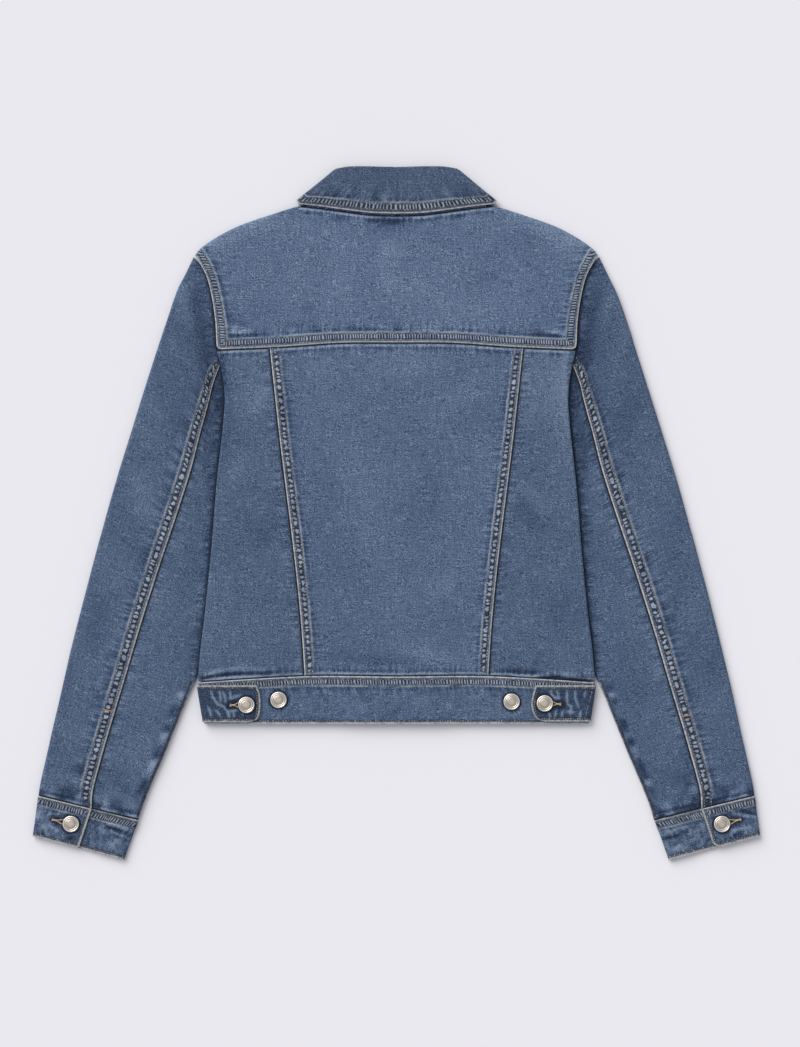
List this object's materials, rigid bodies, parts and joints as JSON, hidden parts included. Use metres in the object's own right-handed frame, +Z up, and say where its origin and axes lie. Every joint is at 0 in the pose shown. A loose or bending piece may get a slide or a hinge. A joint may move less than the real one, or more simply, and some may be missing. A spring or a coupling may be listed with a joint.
{
  "type": "denim jacket",
  "caption": "Cropped long-sleeved denim jacket with a pointed collar, back yoke, waist tabs and metal buttons, laid flat with its back up.",
  "frame": {"origin": "on the surface that the jacket lies on, under the middle of its bounding box, on the centre line of the back", "axes": "+Z up from the surface, so the back of the jacket faces +Z; +Y from the hem to the collar; +X to the wearer's right side"},
  "size_m": [0.7424, 0.7078, 0.0121],
  "materials": {
    "denim": "mid-blue washed stretch denim, mottled twill",
    "denim_trim": "the same denim in two plies, with worn and puckered edges",
    "buttons": "pale nickel-plated jacket buttons, satin with a turned rim"
  },
  "bodies": {
    "root": {"back_centre": "denim", "back_side_left": "denim", "back_side_right": "denim", "back_yoke": "denim", "button_cuff_left": "buttons", "button_cuff_right": "buttons", "button_front_1": "buttons", "button_front_2": "buttons", "button_front_3": "buttons", "button_front_4": "buttons", "button_front_5": "buttons", "button_front_6": "buttons", "button_spare_left": "buttons", "button_spare_right": "buttons", "button_tab_left": "buttons", "button_tab_right": "buttons", "collar": "denim_trim", "cuff_left": "denim_trim", "cuff_right": "denim_trim", "front_left": "denim", "front_right": "denim", "sleeve_top_left": "denim", "sleeve_top_right": "denim", "sleeve_under_left": "denim", "sleeve_under_right": "denim", "tab_left": "denim_trim", "tab_right": "denim_trim", "waistband": "denim_trim"}
  },
  "joints": []
}
